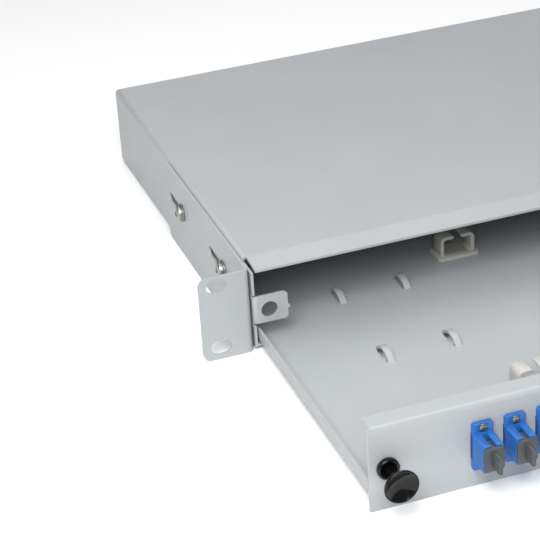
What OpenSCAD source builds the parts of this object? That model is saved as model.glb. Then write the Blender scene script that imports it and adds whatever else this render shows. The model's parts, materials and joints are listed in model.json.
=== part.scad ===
// Pull-out fibre termination drawer for a 19-inch rack, one rack unit high.
// X runs across the rack, +Y goes into the rack and +Z is up. The origin is the
// centre of the four rack slots, on the front face of the ears. The drawer is
// drawn fully open, with its latch knobs pulled out and its ears right back.

/* [Rack ears] */
// Overall width across both ears
rack_w = 482.6; // [482:0.2:483]
// Height of an ear
ear_h = 43; // [42:0.2:43.6]
// Distance from the middle of an ear's slots down to its lower edge
ear_drop = 22; // [21.6:0.1:22]
// Thickness of the ear's sheet
ear_t = 1.2; // [1.2:0.1:1.6]
// Distance between the slot centres across the rack
slot_pitch_x = 465.1; // [464.8:0.1:465.4]
// Distance between the slot centres up the rack
slot_pitch_z = 31.75; // [31.25:0.25:32]
// Height of a rack slot
slot_h = 7; // [6.4:0.2:7.4]
// End-to-end length of a rack slot
slot_len = 10; // [9:0.5:11]
// Length of the leg that lies along the casing
leg_len = 129; // [115:1:140]
// Forward travel of an ear along its adjusting slots
ear_travel = 20; // [10:1:24]

/* [Ear screws] */
// Distance from the ear's face to the front screw
screw_y = 36.5; // [34:0.5:40]
// Distance between the two screws of one ear
screw_pitch = 65; // [60:1:70]
// Height of the screws above the middle of the rack slots
screw_z = 3.5; // [0:0.5:5]
// Shank diameter of the screws
screw_d = 4; // [3:0.5:4.5]

/* [Casing] */
// Width of the casing
case_w = 432; // [430:0.5:432]
// Height of the casing
case_h = 41.2; // [40.8:0.1:41.6]
// Depth of the casing
case_d = 227; // [222:1:260]
// Thickness of the casing and drawer sheet
sheet = 1.2; // [1:0.1:1.2]
// Length of the sloping front lip of the top panel
lip_len = 12; // [10:0.5:14]
// Drop of that lip at its front edge
lip_drop = 1.5; // [1:0.1:1.6]

/* [Drawer] */
// Travel of the drawer from shut to open
travel = 139; // [120:1:142]
// Width of the tray
tray_w = 427.8; // [426:0.2:428]
// Depth of the tray
tray_d = 213.8; // [208:0.2:214]
// Height of the tray's side walls
tray_wall_h = 7.1; // [6:0.1:7.2]
// Width of the front panel
panel_w = 431.8; // [430:0.2:432]
// Height of the front panel
panel_h = 39.5; // [38:0.1:39.6]
// Depth of the front panel's top flange
flange_d = 10; // [8:0.5:11]
// Width of that flange
flange_w = 428.9; // [426:0.1:429]

/* [Latches] */
// Distance of a latch from the middle of the panel
latch_x = 208; // [207:0.1:208.2]
// Height of a latch above the middle of the rack slots
latch_z = -2; // [-2.2:0.1:-1]
// Diameter of the hole in the latch tab
tab_hole_d = 8; // [7.8:0.1:8.6]
// Diameter of the knob's head
knob_d = 15; // [14:0.1:15.2]
// Push-in travel of the knob
knob_travel = 8.5; // [6:0.1:8.5]

/* [Ports] */
// Number of port openings in the front panel
port_count = 24; // [12:2:24]
// Number of ports that hold an adapter, counted from the left
adapter_count = 12; // [1:1:12]
// Distance between ports
port_pitch = 14.5; // [14.2:0.1:14.8]
// Width of a port opening
port_w = 9.5; // [9.4:0.1:9.8]
// Height of a port opening
port_h = 13.1; // [13:0.1:13.4]
// Distance between the two screw holes of a port
port_hole_pitch = 18; // [17.8:0.1:18.2]

/* [Splice cassettes] */
// Width of a cassette
cassette_w = 156; // [150:1:160]
// Depth of a cassette
cassette_d = 98; // [90:1:100]
// Height of one cassette
cassette_h = 10; // [9:0.5:11]
// Distance of a cassette's two studs from the middle
stud_x = 46; // [44:0.5:48]

/* [Cable entries] */
// Distance of a cable gland from the middle
gland_x = 170; // [160:1:175]
// Distance of a blanking plug from the middle
plug_x = 130; // [120:1:135]
// Height of the entries above the middle of the rack slots
entry_z = -4; // [-6:0.5:-2]
// Diameter of the entry thread
entry_d = 16; // [16:1:18]
// Diameter of the cable that a gland seals on
cable_d = 7; // [5:0.5:8]

/* [Hidden] */
$fn = 64;

// Gap between bodies that move past each other
gap = 0.25;
// Clearance of a shank in its hole, per side
fit = 0.05;

// Casing: faces, edges and bends
case_x = case_w / 2;
case_in_x = case_x - sheet;
case_y0 = 0.5;
case_y1 = case_y0 + case_d;
case_top = case_h / 2;
case_bot = -case_h / 2;
bend_r = 2.2;
fold_y = case_y0 + lip_len + 0.6;
lip_inset = 2.3;
rear_flange_h = 10;
rivet_r = 1.6;
rivet_xs = [-200, -100, 0, 100, 200];
rivet_z = case_top - sheet - rear_flange_h / 2;

// Latch tabs, bent in from the casing's side walls
tab_w = 17;
tab_h = 14;
tab_r = 2;
tab_z = latch_z + 0.6;
nib_r = 1;

// Latch grommets and knobs
stem_r = 2;
grommet_r = 3.6;
grommet_rim_r = 4.9;
grommet_h = 2.6;
grommet_depth = 9.5;
knob_r = knob_d / 2;
knob_rim_z = grommet_h + knob_travel + 2.1;
knob_rim_t = 1;
knob_dome_h = 2;

// Ears
ear_bot = -ear_drop;
ear_top = ear_bot + ear_h;
leg_gap = 0.9;
leg_x = case_x + leg_gap;
ear_bend_r = 2.5;
ear_corner = 4.5;
adjust_h = screw_d + 1.2;
adjust_len = ear_travel + adjust_h;
screw_ys = [screw_y, screw_y + screw_pitch];
washer_x = leg_x + ear_t + gap;
washer_t = 0.8;
nut_depth = 3.2;

// Drawer
panel_y = case_y0 - 0.3 - sheet - travel;
tray_y0 = panel_y + sheet;
tray_y1 = tray_y0 + tray_d;
tray_bot = case_bot + sheet + 0.6;
tray_floor = tray_bot + sheet;
tray_x = tray_w / 2;
wall_top = tray_floor + tray_wall_h - sheet;
panel_bot = ear_bot;
panel_top = panel_bot + panel_h;

// Tabs bent up from the tray's floor, that the panel's studs pass through
front_tab_w = 8;
front_tab_top = latch_z - port_h / 2 - 2;

// Slide rails and stops
rail_y0 = 14;
rail_y1 = case_y1 - 13;
rail_z0 = wall_top + 0.7;
rail_h = 8;
rail_reach = 3.4;
stop_y = tray_y1 - 9;
stop_x0 = 205;
lug_w = 5;
lug_top = rail_z0 + 6.5;

// Cable-tie bridges lanced out of the tray's floor
bridge_xs = [-165.8, -132.8, 132.8, 165.8];
bridge_ys = [-35.2, 24.4];
bridge_len = 16;
bridge_w = 3.2;
bridge_rise = 3.6;
bridge_slit = 0.7;
bridge_r = (pow(bridge_len / 2, 2) + pow(bridge_rise, 2)) / (2 * bridge_rise);

// Ports, adapters and their caps
port_xs = [for (i = [0:port_count - 1]) (i - (port_count - 1) / 2) * port_pitch];
adapter_xs = [for (i = [0:adapter_count - 1]) port_xs[i]];
blank_xs = [for (i = [adapter_count:port_count - 1]) port_xs[i]];
port_screw_r = 1;
adapter_w = 9.2;
adapter_h = 12.8;
adapter_len = 27;
adapter_front = 12;
adapter_flange_h = 22.4;
adapter_flange_t = 2;
socket_w = 7.6;
socket_h = 9.2;
socket_depth = 9.5;
sleeve_r = 1.6;
sleeve_bore_r = 1.25;
sleeve_len = 11.4;
cap_plug = [7.4, 9, 6.5];
cap_plate_t = 1.2;
cap_grip = [2, 8, 7];
blank_t = 1.6;
blank_wall = 1.2;
blank_depth = 5;

// Studs that hold the tray to the panel, each midway between two ports
panel_stud_xs = [for (i = [-12, -7, -2, 2, 7, 12]) i * port_pitch];
panel_stud_z = (tray_floor + front_tab_top) / 2 + 0.4;
panel_stud_r = 1.5;
panel_stud_len = 8;
panel_stud_seat = 0.7;

// Splice cassettes
cassette_y = -58;
cassette_r = 18;
cassette_wall = 1.6;
spool_r = 22;
spool_wall = 1.4;
spool_gap = 7;
hub_r = 4.5;
entry_w = 12;
entry_y = 22;
stud_r = 2;
stud_hole_r = stud_r + 0.2;
comb_w = 20;
comb_d = 18;
comb_xs = [-11, 11];
comb_h = 5.6;
groove_pitch = 2.9;
groove_w = 1.6;
groove_z = 2;
lid_t = 1.4;
stack_top = tray_floor + 2 * cassette_h;
thumb_h = 5;
thumb_r = 5;
thumb_rim_r = 6.5;
thumb_rib = [1, 1.2];

// Fibre clips
clip_places = [[-118, -88], [118, -88], [-98, 40], [98, 40]];
clip_w = 18;
clip_h = 12;
clip_t = 1.8;
clip_len = 9;
clip_r = 3;
clip_gap = 4.4;

// Cable entries
hex_af = 22;
gland_hex = 5;
gland_neck_r = 7.8;
gland_neck_len = 6;
gland_thread_len = 8;
gland_dome_hex = 7;
gland_dome_r = 10;
gland_dome_h = 5;
seal_len = 9;
seal_set = 3;
locknut_af = 21;
locknut_t = 3.5;
plug_rim_r = 11;
plug_rim_t = 1.2;
plug_head_h = 4.5;
coin_slot = [12, 1.6, 1.5];
plug_af = 18;
entry_r = entry_d / 2;
seal_r = 5.2;
earth_x = 200;
earth_r = 3;
earth_len = 15;
earth_nut_t = 4.4;
earth_nut_zs = [1, 6.6];

function two_digits(i) = str(i < 10 ? "0" : "", i);
adapter_names = [for (i = [1:adapter_count]) str("adapter_", two_digits(i))];

// ---- Shared shapes ----

// An outline in X and Z, made a wall from y to y + t
module wall_y(y, t) translate([0, y + t, 0]) rotate([90, 0, 0]) linear_extrude(t) children();

// An outline in Y and Z, made a wall from x to x + t
module wall_x(x, t) translate([x, 0, 0]) rotate([90, 0, 90]) linear_extrude(t) children();

// An outline in X and Y, made a plate from z to z + t
module plate_z(z, t) translate([0, 0, z]) linear_extrude(t) children();

// What is drawn on the right, moved to the left where side is -1
module on_side(side) mirror([side < 0 ? 1 : 0, 0, 0]) children();

// A shape turned about the Z axis, laid along Y so that its +Z points out of the front
module face_front(x, y, z) translate([x, y, z]) rotate([90, 0, 0]) children();

// The same with its +Z pointing out of the back
module face_back(x, y, z) translate([x, y, z]) rotate([-90, 0, 0]) children();

module slot_outline(len, h) {
    square([len - h, h], center = true);
    for (s = [-1, 1])
        translate([s * (len - h) / 2, 0]) circle(d = h);
}

module round_rect(w, d, r) {
    square([w - 2 * r, d], center = true);
    square([w, d - 2 * r], center = true);
    for (sx = [-1, 1])
        for (sy = [-1, 1])
            translate([sx * (w / 2 - r), sy * (d / 2 - r)]) circle(r);
}

// A rectangle from z0 to z1 whose two upper corners are round
module round_top(w, z0, z1, r) {
    translate([-w / 2, z0]) square([w, z1 - z0 - r]);
    translate([-w / 2 + r, z0]) square([w - 2 * r, z1 - z0]);
    for (s = [-1, 1])
        translate([s * (w / 2 - r), z1 - r]) circle(r);
}

// A quarter ring in the corner at the origin: the bend between two sheets
module bend_outline(r, t)
    translate([r, r]) intersection() {
        difference() {
            circle(r);
            circle(r - t);
        }
        translate([-r, -r]) square(r);
    }

module hex_nut(af, t, hole_r)
    difference() {
        cylinder(h = t, d = af / cos(30), $fn = 6);
        translate([0, 0, -1]) cylinder(h = t + 2, r = hole_r);
    }

// A pan head with a cross recess, on a shank that points down
module pan_screw(shank_r, shank_len, head_r, head_h) {
    dome_r = (pow(head_r, 2) + pow(head_h, 2)) / (2 * head_h);
    difference() {
        rotate_extrude() intersection() {
            translate([0, head_h - dome_r]) circle(dome_r);
            square([head_r, head_h]);
        }
        for (a = [0, 90])
            rotate([0, 0, a]) translate([-head_r * 0.55, -head_r * 0.14, head_h * 0.4])
                cube([head_r * 1.1, head_r * 0.28, head_h]);
    }
    translate([0, 0, -shank_len]) cylinder(h = shank_len, r = shank_r);
}

// ---- Casing ----

module cover_hollow() round_top(2 * case_in_x, case_bot, case_top - sheet, bend_r - sheet);

module latch_tab() {
    x0 = case_x - bend_r;
    x1 = case_x - tab_w;
    wall_y(case_y0, sheet) difference() {
        translate([0, tab_z]) union() {
            translate([x1 + tab_r, -tab_h / 2]) square([x0 - x1 - tab_r, tab_h]);
            translate([x1, -tab_h / 2 + tab_r]) square([tab_r, tab_h - 2 * tab_r]);
            for (s = [-1, 1])
                translate([x1 + tab_r, s * (tab_h / 2 - tab_r)]) circle(tab_r);
            // nib left where the blank was cut free
            translate([x1, -nib_r]) circle(nib_r);
        }
        translate([latch_x, latch_z]) circle(d = tab_hole_d);
    }
    // the bend from the side wall into the tab
    plate_z(tab_z - tab_h / 2, tab_h)
        translate([case_x, case_y0]) mirror([1, 0]) bend_outline(bend_r, sheet);
}

module side_wall_front() {
    relief = 1.2;
    wall_x(case_in_x, sheet) difference() {
        translate([case_y0, case_bot]) square([fold_y - case_y0, case_h - bend_r]);
        for (s = [-1, 1])
            translate([case_y0 - 1, tab_z + s * (tab_h + relief) / 2 - relief / 2])
                square([bend_r + 1.4, relief]);
        translate([case_y0 - 1, tab_z - tab_h / 2]) square([1 + bend_r, tab_h]);
    }
}

module housing_cover() color("#c4c9cb") difference() {
    union() {
        // top and sides, in one piece behind the fold
        wall_y(fold_y, case_d - fold_y + case_y0) difference() {
            round_top(case_w, case_bot, case_top, bend_r);
            cover_hollow();
        }
        // sloping lip in front of the fold
        translate([-case_x + lip_inset, 0, 0]) wall_x(0, case_w - 2 * lip_inset) polygon([
            [fold_y, case_top], [fold_y, case_top - sheet],
            [fold_y - lip_len, case_top - sheet - lip_drop], [fold_y - lip_len, case_top - lip_drop]
        ]);
        // flange that holds the rear wall
        wall_y(case_y1 - 2 * sheet, sheet)
            translate([-case_in_x + 6, case_top - sheet - rear_flange_h])
                square([2 * case_in_x - 12, rear_flange_h]);
        for (side = [-1, 1])
            on_side(side) {
                side_wall_front();
                latch_tab();
            }
    }
    for (x = rivet_xs)
        face_back(x, case_y1 - 3 * sheet, rivet_z) cylinder(h = 4 * sheet, r = rivet_r + fit);
    for (side = [-1, 1])
        for (y = screw_ys)
            on_side(side) translate([case_in_x - 1, y, screw_z]) rotate([0, 90, 0])
                cylinder(h = sheet + 2, r = screw_d / 2 + fit);
}

module housing_base() color("#b9bec0") {
    plate_z(case_bot, sheet)
        translate([-case_in_x, case_y0 + 0.5]) square([2 * case_in_x, case_d - 0.5]);
    wall_y(case_y1 - sheet, sheet) difference() {
        intersection() {
            cover_hollow();
            translate([-case_x, case_bot]) square([case_w, case_h]);
        }
        for (x = [-gland_x, gland_x, -plug_x, plug_x])
            translate([x, entry_z]) circle(entry_r + fit);
        translate([earth_x, entry_z]) circle(earth_r + fit);
        for (x = rivet_xs)
            translate([x, rivet_z]) circle(rivet_r + fit);
    }
}

module rear_rivets() color("#a9aeb0")
    for (x = rivet_xs)
        face_back(x, case_y1, rivet_z) {
            rotate_extrude() intersection() {
                translate([0, -2]) circle(3.6);
                square([3, 1.6]);
            }
            translate([0, 0, -2 * sheet]) cylinder(h = 2 * sheet, r = rivet_r);
            translate([0, 0, -2 * sheet - 1]) cylinder(h = 1, r = 2.6);
        }

module slide_rail() color("#aeb4b6") {
    wall_x(case_in_x - sheet, sheet)
        translate([rail_y0, rail_z0]) square([rail_y1 - rail_y0, rail_h]);
    plate_z(rail_z0, sheet)
        translate([case_in_x - rail_reach, rail_y0]) square([rail_reach, rail_y1 - rail_y0]);
    // fixed stop that ends the drawer's travel
    wall_y(stop_y, sheet)
        translate([stop_x0, rail_z0]) square([case_in_x - stop_x0, rail_h]);
}

module slide_rail_left() on_side(-1) slide_rail();
module slide_rail_right() on_side(1) slide_rail();

module at_ear_screws(x)
    for (side = [-1, 1])
        for (y = screw_ys)
            on_side(side) translate([x, y, screw_z]) rotate([0, 90, 0]) children();

module ear_screws() color("silver")
    at_ear_screws(washer_x + washer_t)
        pan_screw(screw_d / 2, washer_x + washer_t - case_in_x + nut_depth, 4, 2.6);

module ear_screw_washers() color("silver")
    at_ear_screws(washer_x) difference() {
        cylinder(h = washer_t, r = 4.6);
        translate([0, 0, -1]) cylinder(h = washer_t + 2, r = screw_d / 2 + fit);
    }

module ear_clinch_nuts() color("silver")
    at_ear_screws(case_in_x - nut_depth) difference() {
        cylinder(h = nut_depth, r = 3.8);
        translate([0, 0, -1]) cylinder(h = nut_depth + 2, r = screw_d / 2 + fit);
    }

// ---- Cable glands, plugs and earth stud on the rear wall ----

module gland_body(x) color("#3b3e40") face_back(x, case_y1, entry_z) difference() {
    union() {
        cylinder(h = gland_hex, d = hex_af / cos(30), $fn = 6);
        translate([0, 0, gland_hex]) cylinder(h = gland_neck_len, r = gland_neck_r);
        translate([0, 0, -gland_thread_len]) cylinder(h = gland_thread_len, r = entry_r);
    }
    translate([0, 0, -gland_thread_len - 1])
        cylinder(h = gland_thread_len + gland_hex + gland_neck_len + 2, r = seal_r);
}

module gland_dome_nut(x) color("#3b3e40") face_back(x, case_y1 + gland_hex + 0.4, entry_z)
    difference() {
        union() {
            cylinder(h = gland_dome_hex, d = hex_af / cos(30), $fn = 6);
            translate([0, 0, gland_dome_hex]) rotate_extrude() intersection() {
                circle(gland_dome_r);
                square([gland_dome_r, gland_dome_h]);
            }
        }
        translate([0, 0, -1]) cylinder(h = gland_dome_hex + 0.4, r = gland_neck_r + fit);
        translate([0, 0, -1])
            cylinder(h = gland_dome_hex + gland_dome_h + 2, r = cable_d / 2 + 1);
    }

module gland_seal(x) color("#222425") face_back(x, case_y1 + gland_hex - seal_set, entry_z)
    difference() {
        cylinder(h = seal_len, r = seal_r);
        translate([0, 0, -1]) cylinder(h = seal_len + 2, d = cable_d);
    }

module gland_locknut(x) color("#3b3e40") face_front(x, case_y1 - sheet, entry_z)
    hex_nut(locknut_af, locknut_t, entry_r + fit);

module gland_body_left() gland_body(-gland_x);
module gland_body_right() gland_body(gland_x);
module gland_dome_nut_left() gland_dome_nut(-gland_x);
module gland_dome_nut_right() gland_dome_nut(gland_x);
module gland_seal_left() gland_seal(-gland_x);
module gland_seal_right() gland_seal(gland_x);
module gland_locknut_left() gland_locknut(-gland_x);
module gland_locknut_right() gland_locknut(gland_x);

module blanking_plugs() color("#3b3e40")
    for (x = [-plug_x, plug_x])
        face_back(x, case_y1, entry_z) {
            cylinder(h = plug_rim_t, r = plug_rim_r);
            difference() {
                cylinder(h = plug_head_h, d = plug_af / cos(30), $fn = 6);
                translate([-coin_slot[0] / 2, -coin_slot[1] / 2, plug_head_h - coin_slot[2]])
                    cube(coin_slot);
            }
            translate([0, 0, 1 - gland_thread_len]) cylinder(h = gland_thread_len - 1, r = entry_r);
        }

module plug_locknuts() color("#3b3e40") {
    gland_locknut(-plug_x);
    gland_locknut(plug_x);
}

module earth_stud() color("#c9b26a") {
    face_back(earth_x, case_y1, entry_z) cylinder(h = earth_len, r = earth_r);
    face_front(earth_x, case_y1, entry_z) cylinder(h = sheet, r = earth_r);
    face_front(earth_x, case_y1 - sheet, entry_z) cylinder(h = 1.6, r = 5);
}

module earth_nuts() color("#c9b26a")
    face_back(earth_x, case_y1, entry_z) {
        difference() {
            cylinder(h = 1, r = 6);
            translate([0, 0, -1]) cylinder(h = 3, r = earth_r + fit);
        }
        for (z = earth_nut_zs)
            translate([0, 0, z]) hex_nut(10, earth_nut_t, earth_r + fit);
    }

// ---- Rack ears ----

// A plate of the ear from x0, whose corners at x1 are round
module ear_plate(x0, x1) {
    translate([x0, ear_bot]) square([x1 - ear_corner - x0, ear_h]);
    translate([x1 - ear_corner, ear_bot + ear_corner])
        square([ear_corner, ear_h - 2 * ear_corner]);
    for (z = [ear_bot + ear_corner, ear_top - ear_corner])
        translate([x1 - ear_corner, z]) circle(ear_corner);
}

module rack_ear() color("#d2d6d8") {
    // face that meets the rack
    wall_y(0, ear_t) difference() {
        ear_plate(leg_x + ear_bend_r, rack_w / 2);
        for (s = [-1, 1])
            translate([slot_pitch_x / 2, s * slot_pitch_z / 2]) slot_outline(slot_len, slot_h);
    }
    // leg that lies along the casing
    wall_x(leg_x, ear_t) difference() {
        ear_plate(ear_bend_r, leg_len);
        for (y = screw_ys)
            translate([y + ear_travel / 2, screw_z]) slot_outline(adjust_len, adjust_h);
    }
    plate_z(ear_bot, ear_h) translate([leg_x, 0]) bend_outline(ear_bend_r, ear_t);
}

module rack_ear_left() on_side(-1) rack_ear();
module rack_ear_right() on_side(1) rack_ear();

// ---- Drawer ----

module bridge_arch(x, y)
    translate([x - bridge_w / 2, y, tray_floor + bridge_rise - bridge_r])
        wall_x(0, bridge_w) intersection() {
            difference() {
                circle(bridge_r);
                circle(bridge_r - sheet);
            }
            translate([-bridge_len / 2, bridge_r - bridge_rise - sheet])
                square([bridge_len, bridge_rise + sheet]);
        }

module drawer_tray() color("#c8cdcf") {
    difference() {
        // floor and side walls
        wall_y(tray_y0, tray_d) mirror([0, 1]) difference() {
            round_top(tray_w, -wall_top, -tray_bot, bend_r);
            round_top(tray_w - 2 * sheet, -wall_top - 1, -tray_floor, bend_r - sheet);
        }
        for (x = bridge_xs)
            for (y = bridge_ys)
                translate([x - bridge_w / 2 - bridge_slit, y - bridge_len / 2 + sheet, tray_bot - 1])
                    cube([bridge_w + 2 * bridge_slit, bridge_len - 2 * sheet, sheet + 2]);
        for (x = [-stud_x, stud_x])
            translate([x, cassette_y, tray_bot - 1]) cylinder(h = 3, r = stud_r + fit);
    }
    for (x = bridge_xs)
        for (y = bridge_ys)
            bridge_arch(x, y);
    // low rear wall
    wall_y(tray_y1 - sheet, sheet)
        translate([-tray_x + sheet, tray_floor]) square([tray_w - 2 * sheet, tray_wall_h - sheet]);
    // tabs behind the front panel
    for (x = panel_stud_xs)
        wall_y(tray_y0, sheet) difference() {
            translate([x - front_tab_w / 2, tray_floor])
                square([front_tab_w, front_tab_top - tray_floor]);
            translate([x, panel_stud_z]) circle(panel_stud_r + fit);
        }
    // lugs that meet the rails' stops when the drawer is open
    for (side = [-1, 1])
        on_side(side) wall_y(stop_y + sheet + 0.3, sheet)
            translate([stop_x0 + 0.5, tray_floor]) square([lug_w, lug_top - tray_floor]);
}

module front_panel() color("#bcc2c4") difference() {
    union() {
        wall_y(panel_y, sheet) {
            translate([-panel_w / 2, panel_bot]) square([panel_w, panel_h - bend_r]);
            // square corners beside the bend
            for (side = [-1, 1])
                on_side(side) translate([flange_w / 2, panel_bot])
                    square([(panel_w - flange_w) / 2, panel_h]);
        }
        // top flange and its bend
        translate([-flange_w / 2, 0, 0]) {
            wall_x(0, flange_w) translate([panel_y, panel_top])
                mirror([0, 1]) bend_outline(bend_r, sheet);
            plate_z(panel_top - sheet, sheet)
                translate([0, panel_y + bend_r]) square([flange_w, flange_d - bend_r]);
        }
    }
    for (x = port_xs) {
        translate([x - port_w / 2, panel_y - 1, latch_z - port_h / 2])
            cube([port_w, sheet + 2, port_h]);
        for (s = [-1, 1])
            face_back(x, panel_y - 1, latch_z + s * port_hole_pitch / 2)
                cylinder(h = sheet + 2, r = port_screw_r + fit);
    }
    for (s = [-1, 1])
        face_back(s * latch_x, panel_y - 1, latch_z) cylinder(h = sheet + 2, r = grommet_r + fit);
    for (x = panel_stud_xs)
        face_back(x, tray_y0 - panel_stud_seat, panel_stud_z) cylinder(h = sheet, r = panel_stud_r);
}

module panel_studs() color("silver")
    for (x = panel_stud_xs)
        face_back(x, tray_y0 - panel_stud_seat, panel_stud_z)
            cylinder(h = panel_stud_len, r = panel_stud_r);

module panel_nuts() color("silver")
    for (x = panel_stud_xs)
        face_back(x, tray_y0 + sheet, panel_stud_z) hex_nut(5.5, 2.4, panel_stud_r + fit);

// ---- Latches ----

module latch_grommet(x) color("#141515") face_front(x, panel_y, latch_z) difference() {
    bore_r = stem_r + 0.3;
    rotate_extrude() polygon([
        [bore_r, -grommet_depth], [grommet_r - 0.5, -grommet_depth], [grommet_r, 1.5 - grommet_depth],
        [grommet_r, 0], [grommet_rim_r, 0], [grommet_rim_r, grommet_h - 0.8],
        [grommet_rim_r - 0.6, grommet_h], [grommet_rim_r - 1.1, grommet_h], [bore_r, 1]
    ]);
    // slits that part the tube into four prongs
    for (a = [45, 135])
        rotate([0, 0, a]) translate([-5, -0.4, -grommet_depth - 1]) cube([10, 0.8, grommet_depth - 1]);
}

module latch_knob(x) color("#101011") face_front(x, panel_y, latch_z) rotate_extrude() {
    dome_r = (pow(knob_r, 2) + pow(knob_dome_h, 2)) / (2 * knob_dome_h);
    flare_z = knob_rim_z - 1.4;
    // stem, flared under the head
    polygon([
        [0, -8], [stem_r - 0.6, -8], [stem_r, -7], [stem_r, flare_z - 1.2],
        [stem_r + 1.2, flare_z], [knob_r - 0.8, knob_rim_z], [0, knob_rim_z]
    ]);
    translate([0, knob_rim_z]) {
        square([knob_r, knob_rim_t]);
        intersection() {
            translate([0, knob_rim_t + knob_dome_h - dome_r]) circle(dome_r);
            translate([0, knob_rim_t]) square([knob_r, knob_dome_h]);
        }
    }
}

module latch_grommet_left() latch_grommet(-latch_x);
module latch_grommet_right() latch_grommet(latch_x);
module latch_knob_left() latch_knob(-latch_x);
module latch_knob_right() latch_knob(latch_x);

// ---- Adapters, caps and blanks ----

module adapter(x) color("#2f6fb4") translate([x, panel_y, latch_z]) difference() {
    union() {
        translate([-adapter_w / 2, -adapter_front, -adapter_h / 2])
            cube([adapter_w, adapter_len, adapter_h]);
        wall_y(-adapter_flange_t, adapter_flange_t) round_rect(adapter_w, adapter_flange_h, 1.2);
    }
    // a socket in each end
    for (y = [-adapter_front - 1, adapter_len - adapter_front - socket_depth])
        translate([-socket_w / 2, y, -socket_h / 2])
            cube([socket_w, socket_depth + 1, socket_h]);
    // keyway of each socket
    for (y = [-adapter_front - 1, adapter_len - adapter_front - socket_depth])
        translate([-1.25, y, 0]) cube([2.5, socket_depth + 1, adapter_h]);
    face_back(0, -adapter_front, 0) cylinder(h = adapter_len, r = sleeve_r + fit);
    for (s = [-1, 1])
        face_back(0, -adapter_flange_t - 1, s * port_hole_pitch / 2)
            cylinder(h = adapter_flange_t + 2, r = port_screw_r + fit);
}

module alignment_sleeves() color("ivory")
    for (x = adapter_xs)
        face_back(x, panel_y - adapter_front + adapter_len / 2 - sleeve_len / 2, latch_z)
            difference() {
                cylinder(h = sleeve_len, r = sleeve_r);
                translate([0, 0, -1]) cylinder(h = sleeve_len + 2, r = sleeve_bore_r);
            }

// A cap drawn with its plug towards +Z
module dust_cap() difference() {
    union() {
        translate([-cap_plug[0] / 2, -cap_plug[1] / 2, 0]) cube(cap_plug);
        translate([0, 0, -cap_plate_t]) linear_extrude(cap_plate_t) round_rect(9, 11, 1.5);
        translate([0, 0, -cap_grip[2]])
            linear_extrude(cap_grip[2] - 1) round_rect(cap_grip[0], cap_grip[1], 0.9);
    }
    translate([0, 0, 3]) cylinder(h = 5, r = sleeve_r + 0.4);
}

module dust_caps_front() color("#30343a")
    for (x = adapter_xs)
        face_back(x, panel_y - adapter_front, latch_z) dust_cap();

module dust_caps_rear() color("#30343a")
    for (x = adapter_xs)
        face_front(x, panel_y - adapter_front + adapter_len, latch_z) dust_cap();

module port_blanks() color("#232628")
    for (x = blank_xs)
        translate([x, panel_y, latch_z]) difference() {
            union() {
                wall_y(-blank_t, blank_t) round_rect(adapter_w + 1.2, adapter_flange_h, 1.6);
                wall_y(0, blank_depth) round_rect(adapter_w, adapter_h, 0.8);
            }
            wall_y(1, blank_depth)
                round_rect(adapter_w - 2 * blank_wall, adapter_h - 2 * blank_wall, 0.4);
            for (s = [-1, 1])
                face_back(0, -blank_t - 1, s * port_hole_pitch / 2)
                    cylinder(h = blank_t + 2, r = port_screw_r + fit);
        }

module port_screws() color("silver") {
    for (x = adapter_xs)
        for (s = [-1, 1])
            face_front(x, panel_y - adapter_flange_t, latch_z + s * port_hole_pitch / 2)
                pan_screw(port_screw_r, 6, 1.8, 1.2);
    for (x = blank_xs)
        for (s = [-1, 1])
            face_front(x, panel_y - blank_t, latch_z + s * port_hole_pitch / 2)
                pan_screw(port_screw_r, 5.6, 1.8, 1.2);
}

module port_nuts() color("silver")
    for (x = port_xs)
        for (s = [-1, 1])
            face_back(x, tray_y0, latch_z + s * port_hole_pitch / 2)
                hex_nut(4, 1.6, port_screw_r + fit);

// ---- Splice cassettes ----

module at_cassette(z) translate([0, cassette_y, z]) children();

module cassette_outline(inset) round_rect(cassette_w - 2 * inset, cassette_d - 2 * inset, cassette_r - inset);

module cassette(z) color("#e3e1da") at_cassette(z) difference() {
    union() {
        linear_extrude(cassette_wall) cassette_outline(0);
        linear_extrude(cassette_h) difference() {
            cassette_outline(0);
            cassette_outline(cassette_wall);
        }
        // spools that hold the fibre's bend, each with a hub for its stud
        for (x = [-stud_x, stud_x])
            translate([x, 0, 0]) {
                linear_extrude(cassette_h - 2) difference() {
                    circle(spool_r);
                    circle(spool_r - spool_wall);
                    for (a = [0, 90])
                        rotate([0, 0, a]) square([2 * spool_r + 2, spool_gap], center = true);
                }
                cylinder(h = cassette_h, r = hub_r);
            }
    }
    for (x = [-stud_x, stud_x])
        translate([x, 0, -1]) cylinder(h = cassette_h + 2, r = stud_hole_r);
    // entries where the fibre comes in
    for (sx = [-1, 1])
        for (sy = [-1, 1])
            translate([sx * cassette_w / 2 - 3, sy * entry_y - entry_w / 2, cassette_wall + 1])
                cube([6, entry_w, cassette_h]);
}

module splice_combs(z) color("#2b2d2f") at_cassette(z + cassette_wall)
    for (x = comb_xs)
        translate([x, 0, 0]) difference() {
            linear_extrude(comb_h) square([comb_w, comb_d], center = true);
            for (i = [-2.5:1:2.5])
                translate([-comb_w / 2 - 1, i * groove_pitch - groove_w / 2, groove_z])
                    cube([comb_w + 2, groove_w, comb_h]);
        }

module cassette_lower() cassette(tray_floor);
module cassette_upper() cassette(tray_floor + cassette_h);
module splice_combs_lower() splice_combs(tray_floor);
module splice_combs_upper() splice_combs(tray_floor + cassette_h);

module cassette_lid() color("#cfd6da", 0.5) at_cassette(stack_top) difference() {
    linear_extrude(lid_t) cassette_outline(0.3);
    for (x = [-stud_x, stud_x])
        translate([x, 0, -1]) cylinder(h = lid_t + 2, r = stud_hole_r);
}

module cassette_studs() color("silver")
    for (x = [-stud_x, stud_x])
        translate([x, cassette_y, tray_bot])
            cylinder(h = stack_top + lid_t + 6 - tray_bot, r = stud_r);

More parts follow.
